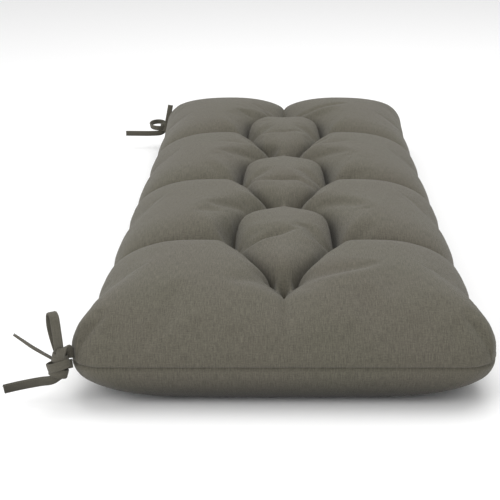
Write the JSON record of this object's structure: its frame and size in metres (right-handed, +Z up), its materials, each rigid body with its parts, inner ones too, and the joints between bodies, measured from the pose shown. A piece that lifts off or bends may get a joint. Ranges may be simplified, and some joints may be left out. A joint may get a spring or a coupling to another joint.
{
  "type": "bench cushion",
  "caption": "Long filled bench cushion with a tufted diamond-pleated top, knife-edge seam and cloth ties in bows at the corners of a long side.",
  "frame": {"origin": "middle of the flat underside, on the surface that the cushion lies on", "axes": "+Y along the length towards the far end, +X across the width away from the ties, +Z up out of the tufted top"},
  "size_m": [0.5409, 1.1267, 0.13],
  "materials": {
    "cover_cloth": "plain weave linen look, grey taupe with fine slubs, matt",
    "tie_cloth": "the cover's plain weave, folded and stitched flat, matt"
  },
  "bodies": {
    "root": {"cushion": "cover_cloth", "tie_near": "tie_cloth", "tie_far": "tie_cloth"}
  },
  "joints": []
}
